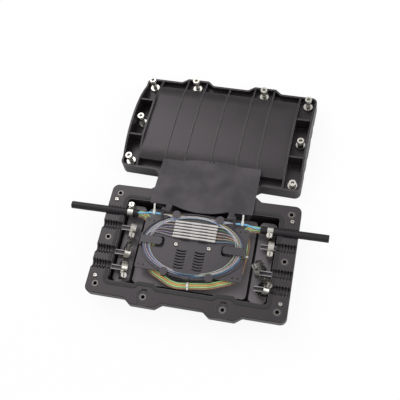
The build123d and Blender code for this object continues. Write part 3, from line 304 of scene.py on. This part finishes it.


# Bolts, washers and screws are stainless steel, cold formed and tumbled bright. Sockets and inside
# corners are painted darker where ambient occlusion finds them, as painted shade. The cover's bolts have
# a 1 mm thread.
def bright_steel(name, colour, roughness, streak, thread=0.0):
    """Steel with streaks of wear in its gloss. Streak is the pattern's scale, and thread the pitch in
    metres of a thread along Z, or none."""
    recess_shade_share = 0.12
    wave_radians = 20.0
    thread_height = 0.3
    steel = bpy.data.materials.new(name)
    steel.use_nodes = True
    tree = steel.node_tree
    skin = tree.nodes["Principled BSDF"]
    skin.inputs["Metallic"].default_value = 1.0
    # Ambient occlusion paints shade into the colour: in recesses and inside corners it falls to a small
    # share of the steel's colour.
    shelter = tree.nodes.new("ShaderNodeAmbientOcclusion")
    shelter.samples = 8
    shelter.inputs["Distance"].default_value = 0.0018
    reach = tree.nodes.new("ShaderNodeMapRange")
    reach.inputs["From Min"].default_value = 0.35
    reach.inputs["From Max"].default_value = 0.85
    recess_shade = tree.nodes.new("ShaderNodeMix")
    recess_shade.data_type = "RGBA"
    recess_shade.inputs["A"].default_value = (*[c * recess_shade_share for c in colour], 1.0)
    recess_shade.inputs["B"].default_value = (*colour, 1.0)
    place = tree.nodes.new("ShaderNodeTexCoord")
    wear = tree.nodes.new("ShaderNodeTexNoise")
    wear.inputs["Scale"].default_value = streak
    wear.inputs["Detail"].default_value = 3.0
    gloss = tree.nodes.new("ShaderNodeMapRange")
    gloss.inputs["To Min"].default_value = roughness - 0.08
    gloss.inputs["To Max"].default_value = roughness + 0.10
    rounding = tree.nodes.new("ShaderNodeBevel")
    rounding.samples = 4
    rounding.inputs["Radius"].default_value = 0.0003
    tree.links.new(place.outputs["Object"], wear.inputs["Vector"])
    tree.links.new(wear.outputs["Fac"], gloss.inputs["Value"])
    tree.links.new(shelter.outputs["AO"], reach.inputs["Value"])
    tree.links.new(reach.outputs["Result"], recess_shade.inputs["Factor"])
    tree.links.new(recess_shade.outputs["Result"], skin.inputs["Base Color"])
    tree.links.new(gloss.outputs["Result"], skin.inputs["Roughness"])
    tree.links.new(rounding.outputs["Normal"], skin.inputs["Normal"])
    # A wave texture of scale 1 runs through 20 radians in each metre.
    if thread:
        crests = tree.nodes.new("ShaderNodeTexWave")
        crests.wave_type = "BANDS"
        crests.bands_direction = "Z"
        crests.inputs["Scale"].default_value = math.tau / (wave_radians * thread)
        flanks = tree.nodes.new("ShaderNodeBump")
        flanks.inputs["Distance"].default_value = thread_height * thread
        tree.links.new(place.outputs["Object"], crests.inputs["Vector"])
        tree.links.new(crests.outputs["Fac"], flanks.inputs["Height"])
        tree.links.new(rounding.outputs["Normal"], flanks.inputs["Normal"])
        tree.links.new(flanks.outputs["Normal"], skin.inputs["Normal"])
    return steel


bolt_steel = bright_steel("bolt_steel", (0.56, 0.54, 0.50), 0.24, 420.0)
for fastener in ("bolt_washers", "corner_screws", "tray_screws"):
    finish_node(fastener, bolt_steel)
threaded_steel = bright_steel("threaded_steel", (0.62, 0.60, 0.55), 0.26, 420.0, 0.001)
finish_node("cover_bolts", threaded_steel)

# The threaded inserts in the flange are plated brass, dulled to a dark grey.
insert_plating = bright_steel("insert_plating", (0.16, 0.15, 0.145), 0.38, 500.0)
finish_node("threaded_inserts", insert_plating)

# The hose clamps are stainless bands with a rolled housing and a slotted hexagon worm screw each.
band_steel = bright_steel("band_steel", (0.52, 0.50, 0.46), 0.27, 300.0)
screw_steel = bright_steel("screw_steel", (0.58, 0.56, 0.52), 0.22, 500.0)
for clamp in [f"{side}_{place}" for side in ("left", "right") for place in (1, 2, 3, 4)]:
    finish_node(f"clamp_{clamp}", band_steel)
    finish_node(f"clamp_screw_{clamp}", screw_steel)


# The cables have a black polyethylene jacket, extruded smooth, and are cut off square outside.
def extruded(name, colour, roughness):
    """A smooth extruded plastic."""
    jacket = bpy.data.materials.new(name)
    jacket.use_nodes = True
    skin = jacket.node_tree.nodes["Principled BSDF"]
    skin.inputs["Base Color"].default_value = (*colour, 1.0)
    skin.inputs["Roughness"].default_value = roughness
    return jacket


cable_jacket = extruded("cable_jacket", (0.014, 0.012, 0.014), 0.48)
cable_jacket.node_tree.nodes["Principled BSDF"].inputs["Specular IOR Level"].default_value = 0.34
finish_node("cable_left", cable_jacket)
finish_node("cable_right", cable_jacket)

# The buffer tubes are thin coloured plastic pipes that each carry a group of fibres.
tube_colours = {
    "tube_blue": (0.16078, 0.41961, 0.61961), "tube_orange": (0.80000, 0.38039, 0.12157),
    "tube_green": (0.38039, 0.61961, 0.29804), "tube_brown": (0.29804, 0.16863, 0.10196),
}
tube_plastics = {slot: extruded(slot, colour, 0.25) for slot, colour in tube_colours.items()}
for tube_name, slot_name in (
    ("tube_blue_left", "tube_blue"), ("tube_blue_right", "tube_blue"), ("tube_orange", "tube_orange"),
    ("tube_green_inner", "tube_green"), ("tube_green_outer", "tube_green"), ("tube_brown", "tube_brown"),
):
    finish_node(tube_name, tube_plastics[slot_name])

# White nylon ties hold the tubes together.
tie_nylon = extruded("tie_nylon", (0.72, 0.72, 0.69), 0.35)
finish_node("cable_ties", tie_nylon)

# Clear shrink sleeves guard the fused fibres. The steel rods inside make them look white.
sleeve_plastic = extruded("sleeve_plastic", (0.57, 0.545, 0.535), 0.18)
finish_node("splice_sleeves", sleeve_plastic)

# The fibres are glass with a thin coloured coating, a quarter of a millimetre thick and drawn here
# at half a millimetre so that they show. They lie in loose oval turns under the tray's tabs. Others
# fan out to both ends of the splice sleeves and come in from the blue tubes.
oval_x, oval_y = -0.0015, 0.0015
deck_z = 0.0425
band_half_length, band_half_width = 0.0592, 0.0398
band_spread_x, band_spread_y = 0.0105, 0.0041
full_turn = 6.28
turns = random.Random(7)
fibre_paths = []


def oval_point(angle, half_length, half_width, height):
    """A point of the wound band. The angle runs from +X towards the back."""
    return Vector((
        oval_x + half_length * math.cos(angle), oval_y + half_width * math.sin(angle), deck_z + height
    ))


def lane_run(lane, height, start, stop, steps, sway):
    """Points along one lane of the band, from angle start to stop, swaying gently within it."""
    phase = turns.uniform(0.0, full_turn)
    points = []
    for step in range(steps + 1):
        angle = start + (stop - start) * step / steps
        drift = sway * (0.6 * math.sin(angle + phase) + 0.4 * math.sin(3.0 * angle + 2.0 * phase))
        across = min(1.0, max(0.0, lane + drift))
        half_length = band_half_length + band_spread_x * across
        half_width = band_half_width + band_spread_y * across
        points.append(oval_point(angle, half_length, half_width, height))
    return points


def join_run(start, lead, run):
    """A smooth lead from a start point, heading along lead, into the first points of a run."""
    lead_steps = 15
    end = run[0]
    arrive = (run[1] - run[0]).normalized() * lead.length
    points = []
    for step in range(lead_steps):
        t = step / lead_steps
        points.append(
            start * (1 - t) ** 3 + (start + lead) * 3 * t * (1 - t) ** 2
            + (end - arrive) * 3 * t * t * (1 - t) + end * t ** 3
        )
    return points + run


# Eight bunches of one to three strands make the full turns.
bunch_count = 8
strand_gap = 0.025
for bunch in range(bunch_count):
    bunch_lane = (bunch + turns.uniform(0.2, 0.8)) / bunch_count
    bunch_start = turns.uniform(0.0, full_turn)
    bunch_tint = turns.random()
    for strand in range(1 + bunch % 3):
        lane = bunch_lane + strand_gap * strand
        height = turns.uniform(0.0004, 0.0025)
        run = lane_run(lane, height, bunch_start, bunch_start + full_turn, 110, 0.12)
        fibre_paths.append((run, bunch_tint if strand < 2 else turns.random()))

# Two strands leave each end of each sleeve and bend into the band at the tray's end. Eight more come
# out of each blue tube and follow the band along the back of the tray.
sleeve_rows, sleeve_pitch, sleeve_middle_y = 6, 0.0044, 0.0228
sleeve_half_length, sleeve_height = 0.0300, 0.0028
fan_turn, tube_turn = 1.5, 1.6
tube_end_x = {-1: -0.0549, 1: 0.0524}
tube_end_y, tube_end_z = 0.0418, 0.04575
tube_bore = 0.0007
tube_tints = (0.05, 0.45, 0.85, 0.05, 0.35, 0.15)
for side in (-1, 1):
    for row in range(sleeve_rows):
        row_y = sleeve_middle_y + ((sleeve_rows - 1) / 2 - row) * sleeve_pitch
        for strand in range(2):
            lane = 0.05 + 0.15 * row + 0.04 * strand
            height = turns.uniform(0.0014, 0.0027)
            meet = math.radians(turns.uniform(2.0, 9.0) + 1.6 * (sleeve_rows - 1 - row))
            if side > 0:
                run = lane_run(lane, height, meet, meet - fan_turn, 30, 0.1)
            else:
                run = lane_run(lane, height, math.pi - meet, math.pi - meet + fan_turn, 30, 0.1)
            sleeve_end = Vector((
                oval_x + side * sleeve_half_length, row_y + 0.0005 * (strand - 1), deck_z + sleeve_height
            ))
            lead = Vector((side * turns.uniform(0.012, 0.017), 0.0008, 0.0))
            fibre_paths.append((join_run(sleeve_end, lead, run), turns.random()))
    for strand in range(8):
        lane = 0.15 + 0.1 * strand
        height = turns.uniform(0.0012, 0.0027)
        meet = math.radians(66.0 + 2.0 * strand)
        if side > 0:
            run = lane_run(lane, height, meet, meet + tube_turn, 30, 0.1)
        else:
            run = lane_run(lane, height, math.pi - meet, math.pi - meet - tube_turn, 30, 0.1)
        tube_end = Vector((
            tube_end_x[side], tube_end_y + tube_bore * math.cos(strand * 0.8),
            tube_end_z + tube_bore * math.sin(strand * 0.8),
        ))
        lead = Vector((-side * 0.011, 0.0002, 0.0004))
        fibre_paths.append((join_run(tube_end, lead, run), turns.choice(tube_tints)))

# Each strand is drawn along a chain of edges that carries the strand's tint.
path_mesh = bpy.data.meshes.new("fibres")
path_points, path_edges, path_tints = [], [], []
for points, tint in fibre_paths:
    first = len(path_points)
    path_points += [tuple(point) for point in points]
    path_edges += [(first + k, first + k + 1) for k in range(len(points) - 1)]
    path_tints += [tint] * len(points)
path_mesh.from_pydata(path_points, path_edges, [])
path_mesh.attributes.new("fibre_tint", "FLOAT", "POINT").data.foreach_set("value", path_tints)
fibres = bpy.data.objects.new("fibres", path_mesh)
scene.collection.objects.link(fibres)

# The tint picks one of the coating's ten colours.
fibre_coating = bpy.data.materials.new("fibre_coating")
fibre_coating.use_nodes = True
coating_tree = fibre_coating.node_tree
coating = coating_tree.nodes["Principled BSDF"]
coating.inputs["Roughness"].default_value = 0.28
tint_reader = coating_tree.nodes.new("ShaderNodeAttribute")
tint_reader.attribute_name = "fibre_tint"
tint_card = coating_tree.nodes.new("ShaderNodeValToRGB")
tint_card.color_ramp.interpolation = "CONSTANT"
fibre_tints = (
    (0.56, 0.55, 0.58), (0.18, 0.27, 0.56), (0.48, 0.22, 0.20), (0.66, 0.57, 0.34), (0.68, 0.66, 0.65),
    (0.03, 0.03, 0.03), (0.10, 0.26, 0.12), (0.52, 0.24, 0.09), (0.62, 0.58, 0.52), (0.20, 0.17, 0.24),
)
card = tint_card.color_ramp.elements
while len(card) < len(fibre_tints):
    card.new(0.5)
for place, tint in enumerate(fibre_tints):
    card[place].position = place / len(fibre_tints)
    card[place].color = (*tint, 1.0)
coating_tree.links.new(tint_reader.outputs["Fac"], tint_card.inputs["Fac"])
coating_tree.links.new(tint_card.outputs["Color"], coating.inputs["Base Color"])

# The node group sweeps a small round section along every path.
strand_tree = bpy.data.node_groups.new("strands_along_paths", "GeometryNodeTree")
sockets = strand_tree.interface
sockets.new_socket("Paths", in_out="INPUT", socket_type="NodeSocketGeometry")
strand_radius = sockets.new_socket("Strand Radius", in_out="INPUT", socket_type="NodeSocketFloat")
strand_finish = sockets.new_socket("Finish", in_out="INPUT", socket_type="NodeSocketMaterial")
sockets.new_socket("Strands", in_out="OUTPUT", socket_type="NodeSocketGeometry")
given = strand_tree.nodes.new("NodeGroupInput")
result = strand_tree.nodes.new("NodeGroupOutput")
to_curve = strand_tree.nodes.new("GeometryNodeMeshToCurve")
section = strand_tree.nodes.new("GeometryNodeCurvePrimitiveCircle")
section.inputs["Resolution"].default_value = 5
to_strand = strand_tree.nodes.new("GeometryNodeCurveToMesh")
to_strand.inputs["Fill Caps"].default_value = True
real = strand_tree.nodes.new("GeometryNodeRealizeInstances")
paint = strand_tree.nodes.new("GeometryNodeSetMaterial")
smooth = strand_tree.nodes.new("GeometryNodeSetShadeSmooth")
strand_tree.links.new(given.outputs["Paths"], to_curve.inputs["Mesh"])
strand_tree.links.new(given.outputs["Strand Radius"], section.inputs["Radius"])
strand_tree.links.new(to_curve.outputs["Curve"], to_strand.inputs["Curve"])
strand_tree.links.new(section.outputs["Curve"], to_strand.inputs["Profile Curve"])
strand_tree.links.new(to_strand.outputs["Mesh"], smooth.inputs["Geometry"])
strand_tree.links.new(smooth.outputs["Geometry"], real.inputs["Geometry"])
strand_tree.links.new(real.outputs["Geometry"], paint.inputs["Geometry"])
strand_tree.links.new(given.outputs["Finish"], paint.inputs["Material"])
strand_tree.links.new(paint.outputs["Geometry"], result.inputs["Strands"])

fibre_radius = 0.00025
grower = fibres.modifiers.new("strands", "NODES")
grower.node_group = strand_tree
grower[strand_radius.identifier] = fibre_radius
grower[strand_finish.identifier] = fibre_coating
settled = bpy.context.evaluated_depsgraph_get()
grown = bpy.data.meshes.new_from_object(fibres.evaluated_get(settled))
fibres.modifiers.clear()
fibres.data = grown
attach(fibres, "root")
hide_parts("fibre_bundle")
